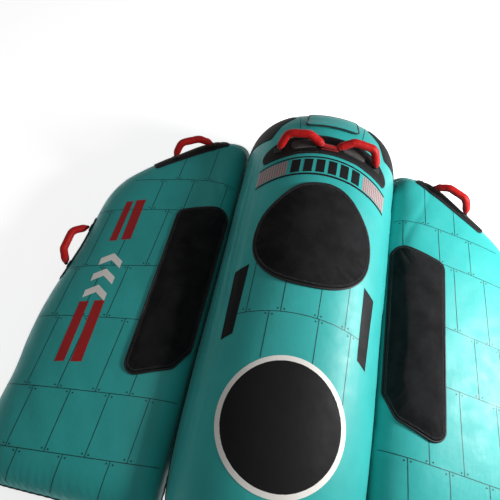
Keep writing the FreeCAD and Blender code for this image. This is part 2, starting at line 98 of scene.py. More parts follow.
def make_camera():
    """A camera above the rider's end that looks down along the tube."""
    flat = math.cos(CAMERA_PITCH)
    forward = Vector((math.sin(CAMERA_YAW) * flat, math.cos(CAMERA_YAW) * flat, -math.sin(CAMERA_PITCH)))
    level_right = Vector((math.cos(CAMERA_YAW), -math.sin(CAMERA_YAW), 0))
    level_down = forward.cross(level_right)
    right = math.cos(CAMERA_ROLL) * level_right + math.sin(CAMERA_ROLL) * level_down
    down = math.cos(CAMERA_ROLL) * level_down - math.sin(CAMERA_ROLL) * level_right
    camera = placed("camera", bpy.data.cameras.new("camera"))
    camera.data.lens = CAMERA_LENS
    axes = Matrix((right, -down, -forward)).transposed().to_4x4()
    camera.matrix_world = Matrix.Translation(CAMERA_PLACE) @ axes
    bpy.context.scene.camera = camera


def area_light(name, place, target, width, power):
    """A square softbox aimed at a point."""
    lamp = bpy.data.lights.new(name, "AREA")
    lamp.size, lamp.energy = width, power
    item = placed(name, lamp)
    item.location = place
    item.rotation_mode = "QUATERNION"
    item.rotation_quaternion = (Vector(target) - Vector(place)).to_track_quat("-Z", "Y")


def make_stage():
    """A near-white floor, soft surroundings, a near key from the right and a weak fill."""
    bpy.context.scene.view_settings.view_transform = "Standard"
    world = bpy.data.worlds.new("studio")
    world.use_nodes = True
    background = world.node_tree.nodes["Background"]
    background.inputs["Color"].default_value = (1, 1, 1, 1)
    background.inputs["Strength"].default_value = WORLD_STRENGTH
    bpy.context.scene.world = world
    area_light("key", (1.85, 0.28, 1.40), (0.1, 0.15, 0.3), 0.6, 66)
    area_light("top_fill", (-0.3, 0.4, 3.4), (0, 0, 0.3), 2.4, 9)
    mesh = bpy.data.meshes.new("floor")
    corners = [(x * FLOOR_REACH, y * FLOOR_REACH, 0) for x, y in ((-1, -1), (1, -1), (1, 1), (-1, 1))]
    mesh.from_pydata(corners, [], [(0, 1, 2, 3)])
    floor = placed("floor", mesh)
    floor.location.z = cad_low.z - 0.5 * MM
    material = bpy.data.materials.new("studio_floor")
    material.use_nodes = True
    inputs = material.node_tree.nodes["Principled BSDF"].inputs
    for socket, value in (("Base Color", (0.93, 0.93, 0.93, 1)), ("Roughness", 0.9),
                          ("Emission Color", (1, 1, 1, 1)), ("Emission Strength", FLOOR_GLOW)):
        inputs[socket].default_value = value
    mesh.materials.append(material)


make_camera()
make_stage()


# ---- Materials ----

class Recipe:
    """A small helper that wires one node material."""

    def __init__(self, name, roughness, **sockets):
        self.material = bpy.data.materials.new(name)
        self.material.use_nodes = True
        self.tree = self.material.node_tree
        self.shader = self.tree.nodes["Principled BSDF"]
        self.shader.inputs["Roughness"].default_value = roughness
        for socket, value in sockets.items():
            self.shader.inputs[socket.replace("_", " ")].default_value = value
        self.place = self.tree.nodes.new("ShaderNodeTexCoord").outputs["Object"]

    def node(self, kind, links=(), **settings):
        """A node with its settings, and its inputs set or linked."""
        made = self.tree.nodes.new(kind)
        for key, value in settings.items():
            setattr(made, key, value)
        for socket, source in dict(links).items():
            if isinstance(source, bpy.types.NodeSocket):
                self.tree.links.new(source, made.inputs[socket])
            else:
                made.inputs[socket].default_value = source
        return made

    def grain(self, scale, detail=3.0, rough=0.5):
        """Noise over the object's own coordinates."""
        inputs = {"Vector": self.place, "Scale": scale, "Detail": detail, "Roughness": rough}
        return self.node("ShaderNodeTexNoise", inputs).outputs["Fac"]

    def bands(self, scale, axis, distortion=0.0):
        """Soft parallel ribs across one axis."""
        inputs = {"Vector": self.place, "Scale": scale, "Distortion": distortion, "Detail": 1.0}
        return self.node("ShaderNodeTexWave", inputs, wave_type="BANDS", bands_direction=axis).outputs["Fac"]

    def cells(self, scale):
        """Cells, for knit or pebble."""
        return self.node("ShaderNodeTexVoronoi", {"Vector": self.place, "Scale": scale}).outputs["Distance"]

    def calculate(self, operation, first, second):
        """Arithmetic on two values."""
        return self.node("ShaderNodeMath", {0: first, 1: second}, operation=operation).outputs[0]

    def mix(self, factor, first, second):
        """A blend of two colours."""
        inputs = {"Factor": factor, 6: (*first, 1.0), 7: (*second, 1.0)}
        return self.node("ShaderNodeMix", inputs, data_type="RGBA").outputs[2]

    def ramp(self, value, low, high, first, second):
        """A value spread between low and high, then mapped to first and second."""
        inputs = {"Value": value, "From Min": low, "From Max": high, "To Min": first, "To Max": second}
        return self.node("ShaderNodeMapRange", inputs).outputs["Result"]

    def link(self, value, socket):
        """Feed one input of the surface."""
        self.tree.links.new(value, self.shader.inputs[socket])

    def paint(self, colour, spread, scale, lift=None):
        """A base colour that drifts lighter and darker by spread."""
        dark = [channel * (1 - spread) for channel in colour]
        light = [min(1.0, channel * (1 + spread)) for channel in (lift or colour)]
        drift = self.ramp(self.grain(scale, 4.0, 0.6), 0.3, 0.7, 0.0, 1.0)
        self.link(self.mix(drift, dark, light), "Base Color")

    def rough(self, low, high, scale):
        """Roughness that varies over the surface."""
        self.link(self.ramp(self.grain(scale), 0.3, 0.7, low, high), "Roughness")

    def bump(self, *layers):
        """Stacked bumps of (height value, depth in metres)."""
        below = {}
        for height, depth in layers:
            inputs = {"Height": height, "Distance": depth, "Strength": 1.0, **below}
            below = {"Normal": self.node("ShaderNodeBump", inputs).outputs["Normal"]}
        self.link(below["Normal"], "Normal")


def weave(recipe, scale):
    """Plain weave: ribs along each axis, multiplied two by two."""
    across, along_it, upright = (recipe.bands(scale, axis) for axis in "XYZ")
    return recipe.calculate("MAXIMUM", recipe.calculate("MULTIPLY", across, along_it),
                            recipe.calculate("MULTIPLY", upright, along_it))


def coated_nylon(name, colour, roughness=0.42, specular=0.45, drift=0.07, scuff=True):
    """Satin coated nylon: fine weave, faint creases, dusty scuffs and a soft sheen."""
    recipe = Recipe(name, roughness, Sheen_Weight=0.08, Sheen_Roughness=0.4, Specular_IOR_Level=specular)
    recipe.paint(colour, drift, 5.0)
    recipe.rough(roughness - 0.05, roughness + 0.08, 22.0)
    layers = [(recipe.grain(26.0, 4.0), 0.9 * MM), (weave(recipe, 150.0), 0.10 * MM)]
    if scuff:
        layers.append((recipe.grain(240.0, 2.0), 0.12 * MM))
    recipe.bump(*layers)
    return recipe.material


def ink_coat(name, colour, drift, roughness=0.45, specular=0.4):
    """Ink printed on coated nylon."""
    return coated_nylon(name, colour, roughness, specular, drift, scuff=False)


def knit_foam(name, colour, lift):
    """Matte knit face on closed-cell foam."""
    recipe = Recipe(name, 0.88, Sheen_Weight=0.03, Sheen_Roughness=0.6, Specular_IOR_Level=0.13)
    recipe.paint(colour, 0.25, 14.0, lift)
    recipe.bump((recipe.grain(30.0, 3.0), 0.35 * MM), (recipe.cells(420.0), 0.30 * MM))
    return recipe.material


def webbing(name, colour, scale=95.0):
    """Ribbed polyester webbing."""
    recipe = Recipe(name, 0.72, Sheen_Weight=0.15, Sheen_Roughness=0.5, Specular_IOR_Level=0.3)
    recipe.paint(colour, 0.22, 60.0)
    ribs = recipe.calculate("MULTIPLY", recipe.bands(scale, "Y", 0.4), recipe.bands(scale * 0.8, "X", 0.4))
    recipe.bump((ribs, 0.5 * MM), (recipe.grain(500.0), 0.15 * MM))
    return recipe.material


def pebbled_rubber(name, colour, lift):
    """Rubberised patch cloth with an embossed pebble."""
    recipe = Recipe(name, 0.66, Specular_IOR_Level=0.2)
    pebble = recipe.cells(190.0)
    recipe.link(recipe.mix(recipe.ramp(pebble, 0.1, 0.6, 1.0, 0.0), colour, lift), "Base Color")
    recipe.bump((pebble, -0.7 * MM), (recipe.grain(60.0), 0.4 * MM))
    return recipe.material


def plastic(name, colour, roughness):
    """Moulded plastic with a fine spark texture."""
    recipe = Recipe(name, roughness, Specular_IOR_Level=0.5)
    recipe.paint(colour, 0.15, 40.0)
    recipe.rough(roughness - 0.06, roughness + 0.1, 90.0)
    recipe.bump((recipe.grain(900.0, 2.0), 0.06 * MM))
    return recipe.material


def metal(name, colour, roughness):
    """Brushed and lightly scratched metal."""
    recipe = Recipe(name, roughness, Metallic=1.0)
    recipe.paint(colour, 0.12, 50.0)
    stretched = recipe.node("ShaderNodeMapping", {"Vector": recipe.place, "Scale": (30, 900, 900)})
    brushed = recipe.node("ShaderNodeTexNoise", {"Vector": stretched.outputs["Vector"], "Scale": 1.0})
    recipe.rough(roughness - 0.08, roughness + 0.14, 120.0)
    recipe.bump((brushed.outputs["Fac"], 0.05 * MM))
    return recipe.material


def vinyl(name, colour):
    """Smooth bladder vinyl with a faint orange peel."""
    recipe = Recipe(name, 0.3, Coat_Weight=0.2, Coat_Roughness=0.2)
    recipe.paint(colour, 0.1, 8.0)
    recipe.bump((recipe.grain(70.0), 0.3 * MM))
    return recipe.material


TEAL = (0.032, 0.420, 0.400)
FINISH = {
    "deck": coated_nylon("teal_coated_nylon", TEAL, specular=0.36),
    "under": coated_nylon("black_coated_nylon", (0.016, 0.017, 0.019), 0.55),
    "piping": coated_nylon("black_piping", (0.010, 0.010, 0.011), 0.5),
    "pad": knit_foam("black_knit_foam", (0.005, 0.005, 0.0055), (0.011, 0.011, 0.012)),
    "guard": knit_foam("grey_knit_foam", (0.045, 0.042, 0.042), (0.085, 0.08, 0.08)),
    "patch": pebbled_rubber("black_patch_rubber", (0.006, 0.006, 0.007), (0.019, 0.018, 0.019)),
    "panel": pebbled_rubber("black_panel_cloth", (0.006, 0.006, 0.007), (0.018, 0.018, 0.019)),
    "red": coated_nylon("red_nylon", (0.52, 0.007, 0.007), 0.5, 0.25, 0.16),
    "rope": webbing("black_rope", (0.014, 0.014, 0.015), 160.0),
    "webbing": webbing("black_webbing", (0.012, 0.012, 0.013)),
    "red_webbing": webbing("red_webbing", (0.42, 0.012, 0.012)),
    "tape": webbing("zipper_tape", (0.012, 0.012, 0.013), 140.0),
    "thread": webbing("grey_thread", (0.10, 0.10, 0.105), 300.0),
    "plastic": plastic("black_plastic", (0.018, 0.018, 0.019), 0.42),
    "cap": plastic("dark_cap_plastic", (0.035, 0.035, 0.037), 0.36),
    "pull": plastic("pull_plastic", (0.022, 0.022, 0.023), 0.4),
    "metal": metal("satin_metal", (0.55, 0.56, 0.58), 0.34),
    "zinc": metal("zinc_slider", (0.40, 0.40, 0.41), 0.4),
    "bladder": vinyl("bladder_vinyl", (0.05, 0.05, 0.06)),
    "line_ink": ink_coat("line_ink", (0.008, 0.055, 0.055), 0.2),
    "black_ink": ink_coat("black_ink", (0.008, 0.008, 0.009), 0.2, 0.6, 0.18),
    "white_ink": ink_coat("white_ink", (0.90, 0.87, 0.82), 0.04),
    "red_ink": ink_coat("red_ink", (0.42, 0.012, 0.014), 0.08),
    "haze_ink": ink_coat("haze_ink", (0.40, 0.30, 0.30), 0.1),
}


# ---- Mesh helpers ----

def add_mesh(name, points, faces, finish):
    """A smooth-shaded mesh object from arrays of points and faces."""
    mesh = bpy.data.meshes.new(name)
    mesh.from_pydata([tuple(point) for point in points], [], [tuple(face) for face in faces])
    mesh.validate()
    mesh.polygons.foreach_set("use_smooth", [True] * len(mesh.polygons))
    mesh.materials.append(FINISH[finish])
    mesh.update()
    return placed(name, mesh)


def dress(item, body, slot, *replaced, bend=None):
    """Ride a piece on its body and hide the CAD nodes it stands for.

    With bend, the piece is not attached to its body and keeps its place with its transform baked in; the
    places in bend are not used.
    """
    if bend:
        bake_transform(item)
    else:
        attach(item, body)
    if replaced:
        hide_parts(*replaced)
    return item


def tree_of(*names):
    """A ray-cast tree over CAD nodes."""
    points = []
    faces = []
    for name in names:
        mesh = nodes[name].data
        start = len(points)
        points += [vertex.co.copy() for vertex in mesh.vertices]
        faces += [[start + index for index in polygon.vertices] for polygon in mesh.polygons]
    return BVHTree.FromPolygons(points, faces)


def grid_faces(rows, columns, start=0, wrap=False):
    """Quads over a grid of points, closed along its columns if wrap."""
    faces = []
    for row in range(rows - 1):
        for column in range(columns if wrap else columns - 1):
            after = (column + 1) % columns
            low = start + row * columns
            high = low + columns
            faces.append((low + column, low + after, high + after, high + column))
    return faces


def along(points):
    """Distance along a line of points, from its start."""
    steps = np.linalg.norm(np.diff(points, axis=0), axis=1)
    return np.concatenate([[0.0], np.cumsum(steps)])


def unit(vectors):
    """Vectors at length 1, along the last axis."""
    return vectors / np.linalg.norm(vectors, axis=-1, keepdims=True)


def heading(points, closed=False):
    """The direction of a line at each of its points."""
    if closed:
        return unit(np.roll(points, -1, axis=0) - np.roll(points, 1, axis=0))
    return unit(np.gradient(points, axis=0))


def read_off(marks, run, values):
    """Values along a line, read off at some distances from its start."""
    return np.stack([np.interp(marks, run, values[:, axis]) for axis in range(values.shape[1])], axis=-1)


def evenly(points, count):
    """The same line with points at even distances."""
    run = along(points)
    return read_off(np.linspace(0, run[-1], count), run, points)


def evenly_closed(loop, count):
    """The same closed loop with count points at even distances."""
    return evenly(np.vstack([loop, loop[:1]]), count + 1)[:-1]


def ease(value):
    """A smooth step from 0 to 1."""
    value = np.clip(value, 0.0, 1.0)
    return value * value * (3 - 2 * value)


def window(value, low, high, soft_low, soft_high):
    """1 well inside low and high, easing to 0 at both over the soft distances."""
    return ease((value - low) / soft_low) * ease((high - value) / soft_high)


def subdivide(item):
    """One level of subdivision."""
    divide = item.modifiers.new("divide", "SUBSURF")
    divide.levels = divide.render_levels = 1


def face_outward(item):
    """Make a closed mesh's faces point outward."""
    bpy.context.view_layer.objects.active = item
    item.select_set(True)
    bpy.ops.object.mode_set(mode="EDIT")
    bpy.ops.mesh.select_all(action="SELECT")
    bpy.ops.mesh.normals_make_consistent(inside=False)
    bpy.ops.object.mode_set(mode="OBJECT")
    item.select_set(False)
    return item


def wobble(points, scale, seed):
    """Smooth noise between about -1 and 1 at each point."""
    shift = Vector((seed * 7.31, seed * 3.17, seed * 5.73))
    flat = points.reshape(-1, 3)
    values = [noise.noise(Vector(point) * scale + shift) for point in flat]
    return np.array(values).reshape(points.shape[:-1])


# ---- Covers ----

AROUND = 132
RAYS = 220
RAY_START = 1.2
SEAM_ANGLE = 0.004
END_ROUND = 13 * MM
CAP_ROWS = 13
RELAX_TIMES = 3


def half_section(tree, y, middle, seam, upper):
    """The outer surface of a chamber at one Y, from its right seam to its left seam."""
    centre = Vector((middle, y, seam))
    found = []
    for angle in np.linspace(SEAM_ANGLE, math.pi - SEAM_ANGLE, RAYS):
        way = Vector((math.cos(angle), 0, math.sin(angle) if upper else -math.sin(angle)))
        point = tree.ray_cast(centre + way * RAY_START, -way)[0]
        if point is not None:
            found.append(point)
    line = np.array(found)
    line[0, 2] = line[-1, 2] = seam
    return evenly(line, AROUND)


def stations(low, high, fine_low, fine_high):
    """Y places: 8 mm apart, closer at both ends and over the gathered stretch."""
    places = [low + depth * MM for depth in (0.2, 2, 5, 9)]
    y = low + 14 * MM
    while y < high - 60 * MM:
        places.append(y)
        y += 4 * MM if fine_low < y < fine_high else 8 * MM
    return places + list(np.linspace(y, high - 14 * MM, 12)) + [high - depth * MM for depth in (9, 5, 2, 0.2)]


def cover_grid(tree, ends, seam, upper, fine):
    """Rows of points over one half of a chamber, closed to a point at each end."""
    low, high = ends
    rows = []
    for y in stations(low, high, *fine):
        outer = tree.ray_cast(Vector((RAY_START, y, seam + 2 * MM)), Vector((-1, 0, 0)))[0]
        inner = tree.ray_cast(Vector((-RAY_START, y, seam + 2 * MM)), Vector((1, 0, 0)))[0]
        middle = (outer.x + inner.x) / 2
        row = half_section(tree, y, middle, seam, upper)
        depth = min(y - low, high - y)
        if depth < END_ROUND:
            inset = END_ROUND - math.sqrt(END_ROUND ** 2 - (END_ROUND - depth) ** 2)
            row = row - unit(row - np.array([middle, y, seam])) * inset
        rows.append(row)
    for first, place in ((True, low), (False, high)):
        edge = rows[0] if first else rows[-1]
        centre = (edge[0] + edge[-1]) / 2
        centre[1] = place
        for share in np.linspace(1, 0, CAP_ROWS + 1)[1:]:
            ring = centre + (edge - centre) * share
            ring[:, 1] = place
            rows.insert(0, ring) if first else rows.append(ring)
    return np.array(rows)


def normals_of(grid, outward_from):
    """Unit normals over a grid, pointing away from the chamber's middle."""
    normal = np.cross(np.gradient(grid, axis=0), np.gradient(grid, axis=1))
    normal = normal / np.maximum(np.linalg.norm(normal, axis=2, keepdims=True), 1e-12)
    sign = np.sign(np.sum(normal * (grid - outward_from), axis=2, keepdims=True))
    return normal * np.where(sign == 0, 1, sign)


def relax(grid):
    """Even out facets inside a grid and leave its border."""
    for _ in range(RELAX_TIMES):
        inner = (grid[:-2, 1:-1] + grid[2:, 1:-1] + grid[1:-1, :-2] + grid[1:-1, 2:]) / 4
        grid[1:-1, 1:-1] = 0.5 * grid[1:-1, 1:-1] + 0.5 * inner
    return grid


def swell(grid, ends, seed):
    """How far soft cloth stands off its plain form: slow waves, seam puckers and puckers at both ends."""
    from_right = np.array([along(row) for row in grid])
    from_seam = np.minimum(from_right, from_right[:, -1:] - from_right)
    y = grid[:, :, 1]
    from_end = np.minimum(y - ends[0], ends[1] - y)
    slow = wobble(grid, 5.0, seed) * 1.6 * MM + wobble(grid, 13.0, seed + 1) * 0.6 * MM
    ripple = np.sin(y / 4.1 / MM + 5 * wobble(grid, 9.0, seed + 2))
    strength = 0.5 + 0.8 * wobble(grid, 6.0, seed + 3)
    seam_pucker = ripple * strength * 1.9 * MM * np.exp(-from_seam / 0.028)
    end_ripple = np.sin(from_right / 4.6 / MM + 4 * wobble(grid, 8.0, seed + 4))
    end_pucker = end_ripple * 1.8 * MM * np.exp(-np.abs(from_end) / 0.03) * ease(from_seam / 0.03)
    cap = ease((from_end - 1 * MM) / (10 * MM))
    return slow * ease(from_end / 0.05) + (seam_pucker + end_pucker) * cap


def cover(name, grid, flip, finish):
    """A cover's mesh from its grid."""
    faces = grid_faces(*grid.shape[:2])
    if flip:
        faces = [face[::-1] for face in faces]
    item = add_mesh(name, grid.reshape(-1, 3), faces, finish)
    item.modifiers.new("weld", "WELD").merge_threshold = 0.05 * MM
    return item


BODY_SEAM = 0.25
WING_SEAM = 0.15
body_low, body_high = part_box("fuselage_top_cover")
wing_low, wing_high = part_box("right_wing_top_cover")
BODY_ENDS = (body_low.y, body_high.y)
WING_ENDS = (wing_low.y, wing_high.y)
body_tree = tree_of("fuselage_top_cover", "fuselage_bottom_cover")
wing_tree = tree_of("right_wing_top_cover", "right_wing_bottom_cover")
GATHER = (0.03, 0.52)
NO_GATHER = (9.0, 9.0)


def valley_folds(grid):
    """Creases that run along the fuselage's left flank, above the valley."""
    x, y = grid[:, :, 0], grid[:, :, 1]
    run = np.array([along(row) for row in grid])
    run = run[:, -1:] - run
    where = window(x, -0.345, -0.215, 0.02, 0.06) * window(y, -0.62, 0.62, 0.2, 0.15)
    folds = np.sin(run / 7.5 / MM + 3.2 * wobble(grid * [1, 0.45, 1], 7.0, 21))
    fade = 0.55 + 0.7 * wobble(grid * [1, 0.5, 1], 5.0, 22)
    return folds * fade * where * 3.6 * MM


def flank_gather(grid):
    """Tight gathers down the fuselage's right flank."""
    x, y, z = grid[:, :, 0], grid[:, :, 1], grid[:, :, 2]
    where = ease((x - 0.285) / 0.02) * ease((z - 0.262) / 0.02) * window(y, 0.03, 0.52, 0.05, 0.05)
    return np.sin(y / 2.35 / MM + 2.2 * wobble(grid, 30.0, 31)) * where * 3.6 * MM


def wing_drape(grid, seed):
    """Soft diagonal folds on a wing's deck, between the root and the outer stripes."""
    x, y = grid[:, :, 0], grid[:, :, 1]
    slanted = grid @ np.array([[0.8, -0.5, 0], [0.6, 0.8, 0], [0, 0, 1]]).T
    folds = wobble(slanted * [1.0, 0.25, 1.0], 16.0, seed) * 1.3 * MM
    return folds * ease((0.80 - y) / 0.2) * ease((x - 0.3) / 0.1)


def shoulder_crease(grid):
    """The long fold that drops from a wing's front edge into the valley."""
    x, y = grid[:, :, 0], grid[:, :, 1]
    path = 0.395 + 0.10 * ease((y - 0.36) / 0.32)
    return -np.exp(-((x - path) / 0.016) ** 2) * window(y, 0.33, 0.72, 0.08, 0.06) * 2.6 * MM


def make_covers():
    """All six covers; returns the finished grids of the three chambers."""
    grids = {}
    centre = np.array([0, 0, BODY_SEAM])
    for part, upper in (("upper", True), ("lower", False)):
        grid = relax(cover_grid(body_tree, BODY_ENDS, BODY_SEAM, upper, GATHER if upper else NO_GATHER))
        normal = normals_of(grid, centre * [1, 0, 1] + grid * [0, 0.8, 0])
        rise = swell(grid, BODY_ENDS, 3 if upper else 40)
        if upper:
            rise = rise + valley_folds(grid) + flank_gather(grid)
        grids["fuselage", part] = grid + normal * rise[:, :, None]
    for part, upper in (("upper", True), ("lower", False)):
        plain = relax(cover_grid(wing_tree, WING_ENDS, WING_SEAM, upper, NO_GATHER))
        middle = plain.mean(axis=1, keepdims=True) * [1, 0, 0] + plain * [0, 0.8, 0] + [0, 0, WING_SEAM]
        normal = normals_of(plain, middle)
        for side, sign in SIDES.items():
            seed = 60 if side == "right" else 80
            rise = swell(plain, WING_ENDS, seed + (0 if upper else 9))
            if upper:
                rise = rise + wing_drape(plain, seed + 5) + shoulder_crease(plain)
            grid = plain + normal * rise[:, :, None]
            grid[:, :, 0] *= sign
            grids[side + "_wing", part] = grid
    return grids


covers = make_covers()
for (chamber, part), grid in covers.items():
    upper = part == "upper"
    mirrored = chamber.startswith("left")
    item = cover("%s_%s_skin" % (chamber, part), grid, upper == mirrored, "deck" if upper else "under")
    dress(item, "hull", "deck_nylon" if upper else "underside_nylon",
          "%s_%s_cover" % (chamber, "top" if upper else "bottom"))


# ---- Piping ----

def steady_side(tangent):
    """Side vectors that turn as little as possible along a line."""
    guess = np.array([0.0, 0.0, 1.0] if abs(tangent[0][2]) < 0.8 else [1.0, 0.0, 0.0])
    side = []
    for way in tangent:
        guess = unit(guess - way * (guess @ way))
        side.append(guess)
    return np.array(side)


def sweep(name, points, radii, finish, sides=10, closed=False, squeeze=1.0, side_way=None):
    """A tube along a line; radii is one radius, one for each point, or one for each point and side."""
    count = len(points)
    tangent = heading(points, closed)
    if side_way is None:
        side = steady_side(tangent)
    else:
        side = unit(side_way - tangent * np.sum(side_way * tangent, axis=1)[:, None])
    angle = np.linspace(0, 2 * math.pi, sides, endpoint=False)[None, :, None]
    radius = np.asarray(radii, float)
    radius = radius[:, None] if radius.ndim == 1 else radius
    ring = side[:, None, :] * np.cos(angle) * squeeze + np.cross(tangent, side)[:, None, :] * np.sin(angle)
    shell = points[:, None, :] + ring * np.broadcast_to(radius, (count, sides))[:, :, None]
    faces = grid_faces(count, sides, wrap=True)
    last = (count - 1) * sides
    if closed:
        faces += [(last + k, last + (k + 1) % sides, (k + 1) % sides, k) for k in range(sides)]
    else:
        faces += [tuple(range(sides))[::-1], tuple(range(last, last + sides))]
    return add_mesh(name, shell.reshape(-1, 3), faces, finish)


PIPING = 3.6 * MM
TAIL_PIPING = 3.0 * MM


def seam_loop(grid, proud):
    """The closed line where two covers meet, a little outside the cloth."""
    right, left = grid[:, 0], grid[:, -1]
    loop = np.concatenate([right, left[::-1][1:-1]])
    centre = (right + left) / 2
    away = loop - np.concatenate([centre, centre[::-1][1:-1]])
    length = np.linalg.norm(away, axis=1)[:, None]
    narrow = np.linalg.norm(right - left, axis=1).max() * 0.1
    away = np.where(length > max(0.02, narrow), away / np.maximum(length, 1e-9), 0)
    y = loop[:, 1]
    on_cap = (y <= grid[:, :, 1].min() + 1e-6) | (y >= grid[:, :, 1].max() - 1e-6)
    away[on_cap] = np.outer(np.sign(y[on_cap]), [0, 1, 0])
    return loop + away * proud


def edge_loop(chamber, row):
    """A loop round a chamber at one row of its two grids."""
    top = covers[chamber, "upper"][row]
    bottom = covers[chamber, "lower"][row]
    return np.concatenate([top, bottom[::-1][1:-1]])


TAIL_ROW = CAP_ROWS + 2
for chamber in CHAMBERS:
    loop = evenly_closed(seam_loop(covers[chamber, "upper"], 0.8 * MM), 899)
    dress(sweep(chamber + "_seam_piping", loop, PIPING, "piping", closed=True),
          "hull", "black_welt", chamber + "_seam_welt")
    tail = evenly_closed(edge_loop(chamber, TAIL_ROW), 419)
    dress(sweep(chamber + "_tail_piping", tail, TAIL_PIPING, "piping", closed=True), "hull", "black_welt")


# ---- Laying things on the covers ----

def look_ray(look, u, v):
    """The start and direction of the ray at plan place (u, v), seen from above or from one side."""
    if look:
        return Vector((look * 2.0, u, v)), Vector((-look, 0, 0))
    return Vector((u, v, 1.5)), Vector((0, 0, -1))


class Cloth:
    """A cover seen from above or from one side, for laying pieces on it."""

    def __init__(self, chamber, look=0):
        grid = covers[chamber, "upper"]
        self.tree = BVHTree.FromPolygons(grid.reshape(-1, 3).tolist(), grid_faces(*grid.shape[:2]))
        self.look = look

    def drop(self, u, v):
        """Where a plan place lands on the cloth, and the normal there; None off the cloth."""
        start, way = look_ray(self.look, u, v)
        point, normal = self.tree.ray_cast(start, way)[:2]
        if point is None:
            return None
        return point, (-normal if normal.dot(way) > 0 else normal)

    def steady(self, u, v, toward=None):
        """Like drop, with the normal averaged nearby; a place off the cloth moves towards a point."""
        landed = self.drop(u, v)
        start = np.array([u, v])
        for step in range(1, 40):
            if landed or toward is None:
                break
            u, v = start + (toward - start) * 0.01 * step
            landed = self.drop(u, v)
        if landed is None:
            return None
        point, normal = landed
        for du, dv in ((6 * MM, 0), (-6 * MM, 0), (0, 6 * MM), (0, -6 * MM)):
            other = self.drop(u + du, v + dv)
            if other:
                normal = normal + other[1]
        return point, normal.normalized()


cloths = {chamber: Cloth(chamber) for chamber in CHAMBERS}
side_cloths = {side: Cloth(side + "_wing", sign) for side, sign in SIDES.items()}


def plan_outline(node, look, count):
    """A CAD layer's outline in plan, as evenly spaced points, and the place it is seen from."""
    tree = tree_of(node)
    low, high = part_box(node)
    middle = (np.array(low) + np.array(high)) / 2
    middle = middle[1:] if look else middle[:2]
    found = []
    for angle in np.linspace(0, 2 * math.pi, 540, endpoint=False):
        way = np.array([math.cos(angle), math.sin(angle)])
        inside, outside = 0.0, 0.7
        for _ in range(13):
            reach = (inside + outside) / 2
            if tree.ray_cast(*look_ray(look, *(middle + way * reach)))[0] is None:
                outside = reach
            else:
                inside = reach
        found.append(middle + way * inside)
    return evenly_closed(np.array(found), count), middle


def inset_loop(loop, distance):
    """A closed plan outline moved inward, or outward if distance is negative."""
    ahead = heading(loop, closed=True)
    inward = np.stack([-ahead[:, 1], ahead[:, 0]], axis=1)
    area = np.sum(loop[:, 0] * np.roll(loop[:, 1], -1) - np.roll(loop[:, 0], -1) * loop[:, 1])
    return loop + inward * distance * (1 if area > 0 else -1)


def laid_loop(cloth, loop, height):
    """Points over the cloth along a plan outline, and the normals there; height may depend on the place."""
    points = []
    normals = []
    for place in loop:
        landed = cloth.steady(*place)
        if landed:
            points.append(landed[0] + landed[1] * (height(*place) if callable(height) else height))
            normals.append(landed[1])
    return np.array(points), np.array(normals)


def layer_solid(name, cloth, loop, middle, finish, low, thick, edge_round, rings=16, rise=None):
    """A closed sheet of foam or cloth that lies on a cover, with a rounded edge."""
    count = len(loop)
    spans = np.linalg.norm(loop - middle, axis=1)
    rows = [(share * edge_round / spans, thick * math.sqrt(1 - (1 - share) ** 2))
            for share in (0.0, 0.12, 0.3, 0.55, 1.0)]
    start = rows[-1][0]
    rows += [(start + (1 - start) * step, thick) for step in np.linspace(0, 1, rings)[1:-1]]

    def over(place, height):
        ground, normal = cloth.steady(*place, middle)
        return ground + normal * height

    def face_point(place, height):
        return over(place, low + height + (rise(*place) if rise else 0.0))

    points = [face_point(loop[k] + (middle - loop[k]) * shares[k], height)
              for shares, height in rows for k in range(count)]
    points.append(face_point(middle, thick))
    under = len(points)
    for share in (0.0, 0.25, 0.5, 0.75):
        points += [over(place, low) for place in loop + (middle - loop) * share]
    points.append(over(middle, low))
    inmost = (len(rows) - 1) * count
    round_it = [(k, (k + 1) % count) for k in range(count)]
    faces = grid_faces(len(rows), count, wrap=True)
    faces += [(inmost + k, inmost + after, under - 1) for k, after in round_it]
    faces += [face[::-1] for face in grid_faces(4, count, under, wrap=True)]
    faces += [(k, under + k, under + after, after) for k, after in round_it]
    faces += [(under + 3 * count + after, under + 3 * count + k, len(points) - 1) for k, after in round_it]
    return face_outward(add_mesh(name, points, faces, finish))


def binding(name, cloth, loop, height, width, thick):
    """A bound edge: a flattened tube that follows an outline."""
    points, normals = laid_loop(cloth, loop, height)
    return sweep(name, points, thick / 2, "piping", closed=True, squeeze=width / thick,
                 side_way=np.cross(heading(points, closed=True), normals))


STITCH_LENGTH = 3.4 * MM
STITCH_PITCH = 5.2 * MM
STITCH_RADIUS = 0.55 * MM
STITCH_SIDES = 6
STITCH_SHAPE = [(-0.5, 0.15), (-0.38, 0.8), (0.0, 1.0), (0.38, 0.8), (0.5, 0.15)]


def stitches(name, points, normals, closed=True):
    """A row of short thread stitches along a line on a surface."""
    line = np.vstack([points, points[:1]]) if closed else points
    up = np.vstack([normals, normals[:1]]) if closed else normals
    run = along(line)
    marks = (np.arange(int(run[-1] / STITCH_PITCH)) + 0.5) * STITCH_PITCH
    centres = read_off(marks, run, line)
    ahead = unit(read_off(marks + MM, run, line) - centres)
    rise = read_off(marks, run, up)
    side = np.cross(ahead, rise)
    all_points = []
    faces = []
    for centre, forward, outward, across in zip(centres, ahead, rise, side):
        start = len(all_points)
        for share, fat in STITCH_SHAPE:
            for k in range(STITCH_SIDES):
                angle = 2 * math.pi * k / STITCH_SIDES
                ring = across * math.cos(angle) + outward * math.sin(angle)
                all_points.append(centre + forward * share * STITCH_LENGTH + ring * (STITCH_RADIUS * fat))
        faces += grid_faces(len(STITCH_SHAPE), STITCH_SIDES, start, wrap=True)
        faces += [tuple(range(start, start + STITCH_SIDES))[::-1],
                  tuple(range(len(all_points) - STITCH_SIDES, len(all_points)))]
    return add_mesh(name, all_points, faces, "thread")


# ---- Pads ----

